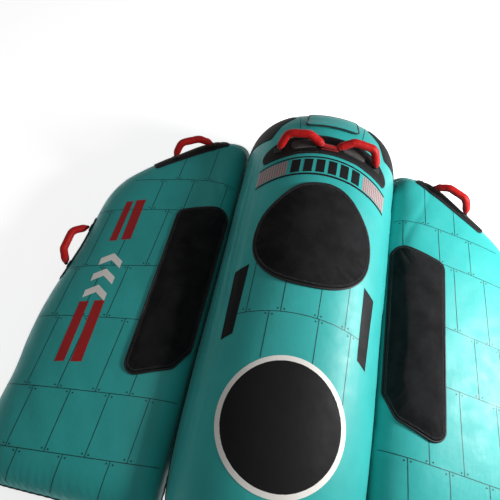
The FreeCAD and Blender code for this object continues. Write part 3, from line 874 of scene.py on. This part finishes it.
VOXEL = 4.6 * MM
PAD_LIMIT = 6 * MM
PAD_PRESSURE = 4.0
SIM_FRAMES = 20
PAD_LOW = 0.8 * MM
PAD_THICK = 10 * MM
PAD_ROUND = 13 * MM
HELD_HEIGHT = 4.5 * MM


def inflate(item, cloth):
    """Puff a pad's face with a short cloth simulation and keep its underside and rim where they are."""
    bpy.context.view_layer.objects.active = item
    item.data.remesh_voxel_size = VOXEL
    bpy.ops.object.voxel_remesh()
    rest = np.array([vertex.co for vertex in item.data.vertices])
    held = item.vertex_groups.new(name="held")
    low = [k for k, point in enumerate(rest) if cloth.tree.find_nearest(Vector(point))[3] < HELD_HEIGHT]
    held.add(low, 1.0, "REPLACE")
    modifier = item.modifiers.new("cloth", "CLOTH")
    for key, value in (("quality", 5), ("mass", 0.3), ("use_pressure", True),
                       ("uniform_pressure_force", PAD_PRESSURE), ("vertex_group_mass", "held"),
                       ("tension_stiffness", 12), ("compression_stiffness", 12), ("bending_stiffness", 0.8)):
        setattr(modifier.settings, key, value)
    modifier.settings.effector_weights.gravity = 0.0
    scene = bpy.context.scene
    for number in range(1, SIM_FRAMES + 1):
        scene.frame_set(number)
    shaped = item.evaluated_get(bpy.context.evaluated_depsgraph_get())
    step = np.array([vertex.co for vertex in shaped.data.vertices]) - rest
    item.modifiers.remove(modifier)
    scene.frame_set(1)
    share = np.minimum(1.0, PAD_LIMIT / np.maximum(np.linalg.norm(step, axis=1), 1e-9))
    item.data.vertices.foreach_set("co", (rest + step * share[:, None]).ravel())
    item.vertex_groups.clear()
    item.data.update()


def smooth_finish(item):
    """Smooth shading over a relaxed, once-subdivided mesh."""
    calm = item.modifiers.new("calm", "SMOOTH")
    calm.factor = 0.5
    calm.iterations = 4
    subdivide(item)
    item.data.polygons.foreach_set("use_smooth", [True] * len(item.data.polygons))


def pad(label, cloth, node, count, rings):
    """A foam pad: puffed face, bound edge and a double row of stitching."""
    loop, middle = plan_outline(node, 0, count)
    item = layer_solid(label + "_cushion", cloth, inset_loop(loop, 2 * MM), middle, "pad", PAD_LOW,
                       PAD_THICK, PAD_ROUND, rings)
    inflate(item, cloth)
    smooth_finish(item)
    dress(item, "hull", "pad_foam", node)
    edge = binding(label + "_binding", cloth, inset_loop(loop, 1.5 * MM), 4.2 * MM, 8 * MM, 6.4 * MM)
    dress(edge, "hull", "pad_foam")
    for number, depth in enumerate((10 * MM, 13.5 * MM), start=1):
        line, up = laid_loop(cloth, inset_loop(loop, depth), 11.6 * MM)
        dress(stitches("%s_stitching_%d" % (label, number), line, up), "hull", "pad_foam")


pad("chest_pad", cloths["fuselage"], "chest_pad", 200, 26)
for side in SIDES:
    pad(side + "_wing_pad", cloths[side + "_wing"], side + "_wing_pad", 260, 22)


# ---- Patches and panels ----

def patch(label, cloth, node, slot, finish, low, thick, count, look=0, trim=True):
    """A flat sewn-down piece, with a bound edge and stitching if trim."""
    loop, middle = plan_outline(node, look, count)
    item = layer_solid(label, cloth, inset_loop(loop, 0.5 * MM), middle, finish, low, thick, 1.4 * thick, 12)
    dress(item, "hull", slot, node)
    if trim:
        edge = binding(label + "_edge", cloth, inset_loop(loop, 1.2 * MM), low + 0.45 * thick, 5 * MM,
                       max(2.4 * MM, 0.9 * thick))
        dress(edge, "hull", slot)
        line, up = laid_loop(cloth, inset_loop(loop, 6 * MM), low + thick + 0.1 * MM)
        dress(stitches(label + "_stitching", line, up), "hull", slot)


RUBBER = ("patch_rubber", "patch", 0.3 * MM, 4.2 * MM)
GUARD = ("guard_foam", "guard", 4.7 * MM, 4 * MM)
PANEL = ("side_panel", "panel", 0.3 * MM, 1.7 * MM)
patch("handle_crescent_patch", cloths["fuselage"], "handle_crescent", *RUBBER, 240)
for side, sign in SIDES.items():
    wing = cloths[side + "_wing"]
    patch(side + "_knuckle_pad", cloths["fuselage"], side + "_knuckle_guard", *GUARD, 96, trim=False)
    patch(side + "_front_patch", wing, side + "_front_handle_patch", *RUBBER, 200)
    patch(side + "_side_patch", side_cloths[side], side + "_side_handle_patch", *RUBBER, 200, look=sign)
    patch(side + "_nose_side_panel", cloths["fuselage"], side + "_nose_panel", *PANEL, 160, trim=False)


# ---- Prints ----

INK_LIFT = 0.45 * MM
BOLD_LIFT = 0.8 * MM
INK_CELL = 6 * MM
LINE_WIDTH = 2.6 * MM
RIVET = 3.1 * MM


class Ink:
    """Flat printed shapes of one colour on one cover, gathered into one thin mesh."""

    def __init__(self, cloth, lift=INK_LIFT):
        self.cloth = cloth
        self.lift = lift
        self.points = []
        self.faces = []

    def sheet(self, plan):
        """Lay a grid of plan places on the cloth; cells with a corner off the cloth are left out."""
        index = {}
        for place in np.ndindex(plan.shape[:2]):
            landed = self.cloth.drop(*plan[place])
            if landed:
                index[place] = len(self.points)
                self.points.append(landed[0] + landed[1] * self.lift)
        for row, column in np.ndindex(plan.shape[0] - 1, plan.shape[1] - 1):
            corners = [(row, column), (row, column + 1), (row + 1, column + 1), (row + 1, column)]
            if all(corner in index for corner in corners):
                self.faces.append([index[corner] for corner in corners])

    def quad(self, *corners):
        """A four-cornered print, its corners given in order round it."""
        first, second, third, fourth = (np.array(corner, float) for corner in corners)
        wide = max(np.linalg.norm(second - first), np.linalg.norm(third - fourth))
        tall = max(np.linalg.norm(fourth - first), np.linalg.norm(third - second))
        s = np.linspace(0, 1, int(wide / INK_CELL) + 2)[None, :, None]
        r = np.linspace(0, 1, int(tall / INK_CELL) + 2)[:, None, None]
        near = first + (second - first) * s
        far = fourth + (third - fourth) * s
        self.sheet(near + (far - near) * r)

    def line(self, start, end, width=LINE_WIDTH):
        """A straight thin line in plan."""
        start, end = np.array(start, float), np.array(end, float)
        ahead = unit(end - start)
        side = np.array([-ahead[1], ahead[0]]) * width / 2
        self.quad(start - side, start + side, end + side, end - side)

    def ring(self, centre, inner, outer, steps):
        """A round band or a dot."""
        angle = np.linspace(0, 2 * math.pi, steps + 1)[None, :, None]
        radius = np.linspace(inner, outer, int((outer - inner) / INK_CELL) + 2)[:, None, None]
        ways = np.concatenate([np.cos(angle), np.sin(angle)], axis=2)
        self.sheet(np.array(centre, float) + ways * radius)

    def arc(self, ends, low, high, steps=64):
        """A band between two curves y(x) over a span of x."""
        x = np.linspace(*ends, steps)
        share = np.linspace(0, 1, int(abs(high(0.0) - low(0.0)) / INK_CELL) + 2)[:, None]
        y = low(x)[None, :] * (1 - share) + high(x)[None, :] * share
        self.sheet(np.stack([np.broadcast_to(x, y.shape), y], axis=2))

    def curve(self, ends, middle):
        """A thin line along a curve y(x)."""
        self.arc(ends, lambda x: middle(x) - LINE_WIDTH / 2, lambda x: middle(x) + LINE_WIDTH / 2)

    def finish(self, name, finish):
        """The print as a piece on the hull."""
        return dress(add_mesh(name, self.points, self.faces, finish), "hull", "deck_nylon")


def rivets(ink, x, y):
    """A pair of printed rivets on both sides of a panel line."""
    for side in (-1, 1):
        ink.ring((x + side * 11 * MM, y), 0.2 * MM, RIVET, 8)


def wing_lines(ink, sign):
    """The printed plating on a wing: cross lines, and short lines between them."""
    cross = [((0.36, 0.508), (0.80, 0.447)), ((0.36, 0.349), (0.925, 0.268)),
             ((0.36, 0.085), (0.945, -0.010)), ((0.36, -0.150), (0.985, -0.226)),
             ((0.36, -0.430), (1.00, -0.490)), ((0.36, -0.640), (1.00, -0.690))]
    for (x0, y0), (x1, y1) in cross:
        ink.line((sign * x0, y0), (sign * x1, y1))

    def cross_y(row, x):
        (x0, y0), (x1, y1) = cross[row]
        return y0 + (y1 - y0) * (x - x0) / (x1 - x0)

    rows = [(0.48, 0.61), (0.40, 0.545, 0.68), (0.40, 0.62, 0.75, 0.87), (0.45, 0.70, 0.80, 0.91),
            (0.52, 0.64, 0.78, 0.90), (0.46, 0.60, 0.74, 0.88), (0.52, 0.68, 0.84)]
    for number, places in enumerate(rows):
        for x in places:
            far = cross_y(number - 1, x) if number else 0.70 - 0.62 * (x - 0.44)
            near = cross_y(number, x) if number < len(cross) else WING_ENDS[0] + 0.02
            lean = 0.012 * (far - near) / 0.2
            ink.line((sign * x, near), (sign * (x - lean), far))
            if number < len(cross):
                rivets(ink, sign * x, near + 9 * MM)
            if number:
                rivets(ink, sign * (x - lean), far - 9 * MM)


def body_lines(ink):
    """The printed plating on the fuselage."""
    def across(x):
        return -0.095 - 0.05 * (x / 0.3) ** 2

    def tail_across(x):
        return -0.765 - 0.03 * (x / 0.3) ** 2

    ink.curve((-0.215, 0.215), across)
    ink.curve((-0.27, 0.27), tail_across)
    for x, end in ((-0.185, 0.16), (-0.070, 0.05), (0.056, 0.05), (0.155, 0.07),
                   (-0.107, -0.26), (0.062, -0.26), (0.18, -0.42)):
        ink.line((x, across(x)), (x, end))
        rivets(ink, x, across(x) + math.copysign(10 * MM, end))
    for x in (-0.16, 0.0, 0.16):
        ink.line((x, -0.745), (x, tail_across(x)))
        rivets(ink, x, tail_across(x) - 10 * MM)
    for x in (-0.08, 0.09):
        ink.line((x, tail_across(x)), (x, BODY_ENDS[0] + 0.02))


def wing_stripes():
    """Four red stripes with plain chevrons between them, on the left wing."""
    red = Ink(cloths["left_wing"], BOLD_LIFT)
    for corners in (((-0.800, 0.328), (-0.772, 0.334), (-0.778, 0.134), (-0.808, 0.128)),
                    ((-0.758, 0.340), (-0.718, 0.349), (-0.721, 0.149), (-0.759, 0.140)),
                    ((-0.826, -0.148), (-0.790, -0.140), (-0.793, -0.376), (-0.830, -0.384)),
                    ((-0.768, -0.134), (-0.729, -0.126), (-0.729, -0.366), (-0.769, -0.374))):
        red.quad(*corners)
    red.finish("left_wing_red_stripes", "red_ink")
    white = Ink(cloths["left_wing"], BOLD_LIFT)
    for step in range(3):
        y = 0.075 - 0.072 * step
        x = -0.765 - 0.006 * step
        for sign in (-1, 1):
            white.quad((x, y), (x + sign * 0.046, y - 0.030), (x + sign * 0.046, y - 0.062), (x, y - 0.032))
    white.finish("left_wing_white_chevrons", "white_ink")


BAND = 0.255


def band_front(x):
    """The band's front edge."""
    return 0.541 - 0.85 * np.abs(x) ** 2.05


def band_rear(x):
    """The band's rear edge."""
    return 0.452 - 0.90 * np.abs(x) ** 2.05


def chest_band():
    """The curved band ahead of the chest pad: dark borders, hazed ends and plain bars."""
    def ink(lift):
        return Ink(cloths["fuselage"], lift * MM)

    def inside(rear, front):
        return (lambda x: band_rear(x) + rear), (lambda x: band_front(x) - front)

    border = ink(0.9)
    border.arc((-BAND, BAND), lambda x: band_front(x) - 0.0065, band_front)
    border.arc((-BAND, BAND), band_rear, lambda x: band_rear(x) + 0.0085)
    border.finish("band_borders", "black_ink")
    haze = ink(0.7)
    for sign in (-1, 1):
        haze.arc(sorted((sign * 0.150, sign * BAND)), *inside(0.0125, 0.0105), 26)
    haze.finish("band_hazed_ends", "haze_ink")
    bars = ink(0.7)
    for step in range(6):
        x = -0.118 + 0.0472 * step
        bars.arc((x - 0.0165, x + 0.0165), *inside(0.0150, 0.0125), 8)
    bars.finish("band_plain_bars", "black_ink")
    hatch = ink(0.95)
    for sign in (-1, 1):
        for step in range(11):
            x = sign * (0.156 + 0.009 * step)
            hatch.line(*((x, edge(x)) for edge in inside(0.0125, 0.0105)), 1.3 * MM)
    hatch.finish("band_hatching", "black_ink")


ROUNDEL = (-0.003, -0.443)


def roundel():
    """A plain white ring round a black disc behind the rider's knees."""
    for inner, outer, name, finish in ((0.1895, 0.206, "roundel_white_ring", "white_ink"),
                                       (0.2 * MM, 0.190, "roundel_black_disc", "black_ink")):
        ink = Ink(cloths["fuselage"], BOLD_LIFT)
        ink.ring(ROUNDEL, inner, outer, 160)
        ink.finish(name, finish)


def flank_marks():
    """Slanted black marks on both flanks of the fuselage."""
    ink = Ink(cloths["fuselage"], BOLD_LIFT)
    for sign in (-1, 1):
        ink.quad((sign * 0.210, 0.068), (sign * 0.256, 0.040), (sign * 0.250, -0.215), (sign * 0.214, -0.190))
    ink.finish("flank_black_marks", "black_ink")


def nose_prints():
    """Panel lines round the nose."""
    ink = Ink(cloths["fuselage"])
    for sign in (-1, 1):
        ink.line((sign * 0.125, 0.655), (sign * 0.145, 0.83))
    ink.finish("nose_panel_lines", "line_ink")


for side, sign in SIDES.items():
    plating = Ink(cloths[side + "_wing"])
    wing_lines(plating, sign)
    plating.finish(side + "_wing_panel_lines", "line_ink")
plating = Ink(cloths["fuselage"])
body_lines(plating)
plating.finish("fuselage_panel_lines", "line_ink")
wing_stripes()
chest_band()
roundel()
flank_marks()
nose_prints()


# ---- Handles ----

BALL = 7 * MM
GRIP = 16 * MM
SOFT_BEND = 36 * MM
FOOT = {"half": (15 * MM, 13 * MM), "thick": 2.6 * MM, "finish": "webbing"}
TIE = {"half": (34 * MM, 9 * MM), "thick": 1.8 * MM, "finish": "red_webbing"}
PATCH_TOP = 4.6 * MM
SLEEVE_STEP = 1.6 * MM
SLEEVE_SIDES = 40
FIRST_SHOULDER, LAST_SHOULDER = 0.25, 0.28
FIRST_LIFT, LAST_LIFT = 1.02, 0.84


def core_node(label):
    """The CAD node of a handle's rope core."""
    return label + "_handle_core"


def handle_route(label):
    """The four corners of a handle, worked out from its joint and its rope core."""
    joint = joints[label + "_handle_fold"]
    first = np.array(joint["pos_m"])
    axis = np.array(joint["axis"])
    cloud = np.array([vertex.co for vertex in nodes[core_node(label)].data.vertices])
    reach = (cloud - first) @ axis
    if abs(reach.min()) > reach.max():
        axis, reach = -axis, -reach
    along_feet = axis * (reach.max() - BALL)
    off = (cloud - first) - np.outer(reach, axis)
    height = np.linalg.norm(off, axis=1)
    lean = unit(off[height > 0.7 * height.max()].mean(axis=0))
    lift = lean * ((off @ lean).max() - BALL)
    last = first + along_feet
    return [first, first + along_feet * FIRST_SHOULDER + lift * FIRST_LIFT,
            last - along_feet * LAST_SHOULDER + lift * LAST_LIFT, last]


def rounded_line(corners, radius, step):
    """Straight runs joined by arcs, as evenly spaced points."""
    line = [corners[0]]
    for before, corner, after in zip(corners, corners[1:], corners[2:]):
        back, onward = unit(before - corner), unit(after - corner)
        half = math.acos(np.clip(back @ onward, -1, 1)) / 2
        centre = corner + unit(back + onward) * (radius / math.sin(half))
        first, second = (corner + way * (radius / math.tan(half)) - centre for way in (back, onward))
        turn = math.pi - 2 * half
        for share in np.linspace(0, 1, 14):
            point = first * math.sin((1 - share) * turn) + second * math.sin(share * turn)
            line.append(centre + point / math.sin(turn))
    line = np.array(line + [corners[-1]])
    return evenly(line, int(along(line)[-1] / step) + 1)


def sleeve(label, body):
    """A padded red sleeve over its rope: gathered at both feet, creased inside its bends, with a seam."""
    corners = handle_route(label)
    line = rounded_line(corners, SOFT_BEND, SLEEVE_STEP)
    run = along(line)
    total = run[-1]
    from_foot = np.minimum(run, total - run)
    tangent = heading(line)
    turn = np.linalg.norm(np.gradient(tangent, axis=0), axis=1) / SLEEVE_STEP * SOFT_BEND
    turn = np.convolve(np.clip(turn, 0, 1), np.ones(9) / 9, mode="same")
    angle = np.linspace(0, 2 * math.pi, SLEEVE_SIDES, endpoint=False)
    plain = GRIP * (0.52 + 0.48 * ease((from_foot - 2 * MM) / (20 * MM)))
    pleat = ease((26 * MM - from_foot) / (18 * MM)) * 0.9 * MM
    inner = np.clip(np.cos(angle), 0, 1)[None, :] ** 1.5
    crease = np.sin(run / 1.15 / MM)[:, None] * turn[:, None] * inner * 1.3 * MM
    seed = 100 + sorted(joints).index(label + "_handle_fold") * 5
    spots = np.stack(np.broadcast_arrays(run[:, None] * 40, np.cos(angle), np.sin(angle)), axis=2)
    slack = wobble(spots, 1.4, seed) * 0.9 * MM + wobble(spots, 3.4, seed + 1) * 0.5 * MM
    seam = np.exp(-((angle - 2 * math.pi * 0.62) / 0.10) ** 2)[None, :] * 1.0 * MM
    folds = np.cos(angle * 9)[None, :] * pleat[:, None]
    radii = plain[:, None] + crease + slack + seam + folds
    radii[0], radii[-1] = BALL, BALL
    inward = (corners[0] + corners[3]) / 2 - line
    item = sweep(label + "_sleeve", line, radii, "red", sides=SLEEVE_SIDES, side_way=inward)
    subdivide(item)
    dress(item, body, "grip_sleeve", label + "_grip")
    beyond = np.linspace(1, 0, 8)[:-1, None] * BALL
    rope = np.vstack([line[0] - tangent[0] * beyond, line, line[-1] + tangent[-1] * beyond[::-1]])
    ends = np.sqrt(np.maximum(BALL ** 2 - beyond[:, 0] ** 2, 0.01 * BALL ** 2))
    thick = np.concatenate([ends, np.full(len(line), BALL), ends[::-1]])
    dress(sweep(label + "_rope", rope, thick, "rope", sides=20), body, "handle_rope", core_node(label))
    for number, place in enumerate((13 * MM, total - 13 * MM), start=1):
        near = int(np.argmin(np.abs(run - place)))
        radius = plain[near] + np.array([0.2, 1.1, 1.4, 1.1, 0.2]) * MM
        band = sweep("%s_cuff_%d" % (label, number), line[near - 2:near + 3], radius, "red_webbing", sides=28)
        dress(band, body, "grip_sleeve")


HANDLES = ["%s_%s" % (side, kind) for side in SIDES for kind in ("fuselage", "front", "side")]
for label in HANDLES:
    sleeve(label, label + "_handle")


def tab_piece(name, cloth, centre, spin, half, thick, finish):
    """A square of webbing sewn down with a box of stitches."""
    turn = np.array([[math.cos(spin), -math.sin(spin)], [math.sin(spin), math.cos(spin)]])
    corner = 0.28 * min(half)
    outline = []
    for sx, sy, start in ((1, 1, 0), (-1, 1, 90), (-1, -1, 180), (1, -1, 270)):
        for step in range(6):
            angle = math.radians(start + 18 * step)
            outline.append((sx * (half[0] - corner) + corner * math.cos(angle),
                            sy * (half[1] - corner) + corner * math.sin(angle)))
    loop = evenly_closed(np.array(outline) @ turn.T + centre, 80)
    item = layer_solid(name, cloth, loop, np.array(centre), finish, PATCH_TOP, thick, 1.2 * thick, 8)
    dress(item, "hull", "handle_webbing")
    line, up = laid_loop(cloth, inset_loop(loop, 3.5 * MM), PATCH_TOP + thick + 0.1 * MM)
    dress(stitches(name + "_box_stitch", line, up), "hull", "handle_webbing")
    return item


def handle_feet():
    """The webbing squares under the handles' feet."""
    for side, sign in SIDES.items():
        for kind, cloth, look in (("fuselage", cloths["fuselage"], 0), ("front", cloths[side + "_wing"], 0),
                                  ("side", side_cloths[side], sign)):
            corners = [corner[1:] if look else corner[:2] for corner in handle_route("%s_%s" % (side, kind))]
            ahead = corners[3] - corners[0]
            spin = math.atan2(ahead[1], ahead[0])
            for number, centre in enumerate(corners[:1] if kind == "fuselage" else corners[::3], start=1):
                name = "%s_%s_foot_%d" % (side, kind, number)
                tab_piece(name, cloth, centre, spin, **FOOT)
        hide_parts(side + "_handle_tabs")
    left_end, right_end = handle_route("left_fuselage")[3], handle_route("right_fuselage")[3]
    tie = tab_piece("middle_handle_tie", cloths["fuselage"], ((right_end + left_end) / 2)[:2], 0.0, **TIE)
    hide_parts("fuselage_handle_tabs")
    bridge = left_end + np.linspace(0, 1, 30)[:, None] * (right_end - left_end)
    dress(sweep("middle_handle_bridge", bridge, 8.5 * MM, "red_webbing", sides=24), "hull", "handle_webbing")


handle_feet()


# ---- Nose flap ----

FLAP_SEWN = 6 * MM
FLAP_FREE = 36 * MM


def flap():
    """A padded flap over the bow: sewn down at its front edge, its rear edge stands a little proud."""
    cloth = cloths["fuselage"]
    loop, middle = plan_outline("nose_flap", 0, 160)
    low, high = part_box("nose_flap")

    def lifted(u, v):
        return float(ease((low.y + 0.045 - v) / 0.05)) * 6 * MM

    item = layer_solid("nose_flap_cloth", cloth, inset_loop(loop, 1 * MM), middle, "deck", 3 * MM, 3.4 * MM,
                       4 * MM, 14, lifted)
    bend = ((0.0, high.y - FLAP_SEWN, high.z), (0.0, high.y - FLAP_FREE, high.z))
    dress(item, "nose_flap", "flap_nylon", "nose_flap", bend=bend)
    edge = binding("nose_flap_binding", cloth, inset_loop(loop, 1.2 * MM),
                   lambda u, v: 4.6 * MM + 0.8 * lifted(u, v), 9.88 * MM, 5.2 * MM)
    dress(edge, "nose_flap", "flap_nylon", bend=bend)
    # A black sheet under the flap's rear half, seen only through the gap below the lifted rear edge: painted
    # shadow under the flap.
    flap_shadow_sheet = Ink(cloth, 0.9 * MM)
    near, far = low.y + 10 * MM, low.y + 58 * MM
    flap_shadow_sheet.quad((-0.092, near), (0.092, near), (0.088, far), (-0.088, far))
    flap_shadow_sheet.finish("nose_flap_painted_shadow", "black_ink")
    front = np.stack([np.linspace(-0.098, 0.098, 60), np.full(60, high.y + 5 * MM)], axis=1)
    hem, up = laid_loop(cloth, front, 1.6 * MM)
    dress(sweep("nose_flap_hem", hem, 1.9 * MM, "piping", squeeze=2.6, side_way=np.cross(heading(hem), up)),
          "hull", "flap_nylon")


flap()


# ---- Zipper coils ----

COIL_PITCH = 2.6 * MM
COIL_SHAPE = [(-0.42, -0.30), (0.0, -0.46), (0.42, -0.30), (0.42, 0.30), (0.0, 0.46), (-0.42, 0.30)]


def coil(chamber):
    """The flat coil down the middle of a zipper tape, and a row of stitches on both sides of it."""
    low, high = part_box(chamber + "_zipper_tape")
    middle = (low.z + high.z) / 2
    points = []
    faces = []
    for step in range(int((high.x - low.x - 4 * MM) / COIL_PITCH)):
        x = low.x + 2 * MM + (step + 0.5) * COIL_PITCH
        z = middle + (0.5 * MM if step % 2 else -0.5 * MM)
        start = len(points)
        for depth, share in ((0.0, 1.0), (0.14, 0.92), (0.22, 0.6)):
            points += [(x + dx * COIL_PITCH * share, low.y - depth * MM, z + dz * 7 * MM * share)
                       for dx, dz in COIL_SHAPE]
        faces += grid_faces(3, 6, start, wrap=True)
        faces.append(tuple(range(start + 12, start + 18)))
    dress(add_mesh(chamber + "_zipper_coil", points, faces, "plastic"), "hull", "zipper_tape")
    places = np.linspace(low.x + 3 * MM, high.x - 3 * MM, 80)
    for number, height in enumerate((low.z + 3 * MM, high.z - 3 * MM), start=1):
        line = np.stack([places, np.full(80, low.y - 0.1 * MM), np.full(80, height)], axis=1)
        up = np.tile([0.0, -1.0, 0.0], (80, 1))
        item = stitches("%s_zipper_stitch_%d" % (chamber, number), line, up, closed=False)
        dress(item, "hull", "zipper_tape")


for chamber in CHAMBERS:
    coil(chamber)


# ---- CAD nodes that stay ----

EACH_CHAMBER = {"bladder": "bladder", "valve": "plastic", "valve_cap": "cap", "zipper_tape": "tape",
                "zipper_slider": "zinc", "zipper_pull": "pull"}
KEPT = {chamber + "_" + part: finish for chamber in CHAMBERS for part, finish in EACH_CHAMBER.items()}
KEPT.update(tow_web="webbing", tow_plate="metal", right_joining_web="webbing", left_joining_web="webbing")
for name, finish in KEPT.items():
    nodes[name].data.materials.clear()
    nodes[name].data.materials.append(FINISH[finish])
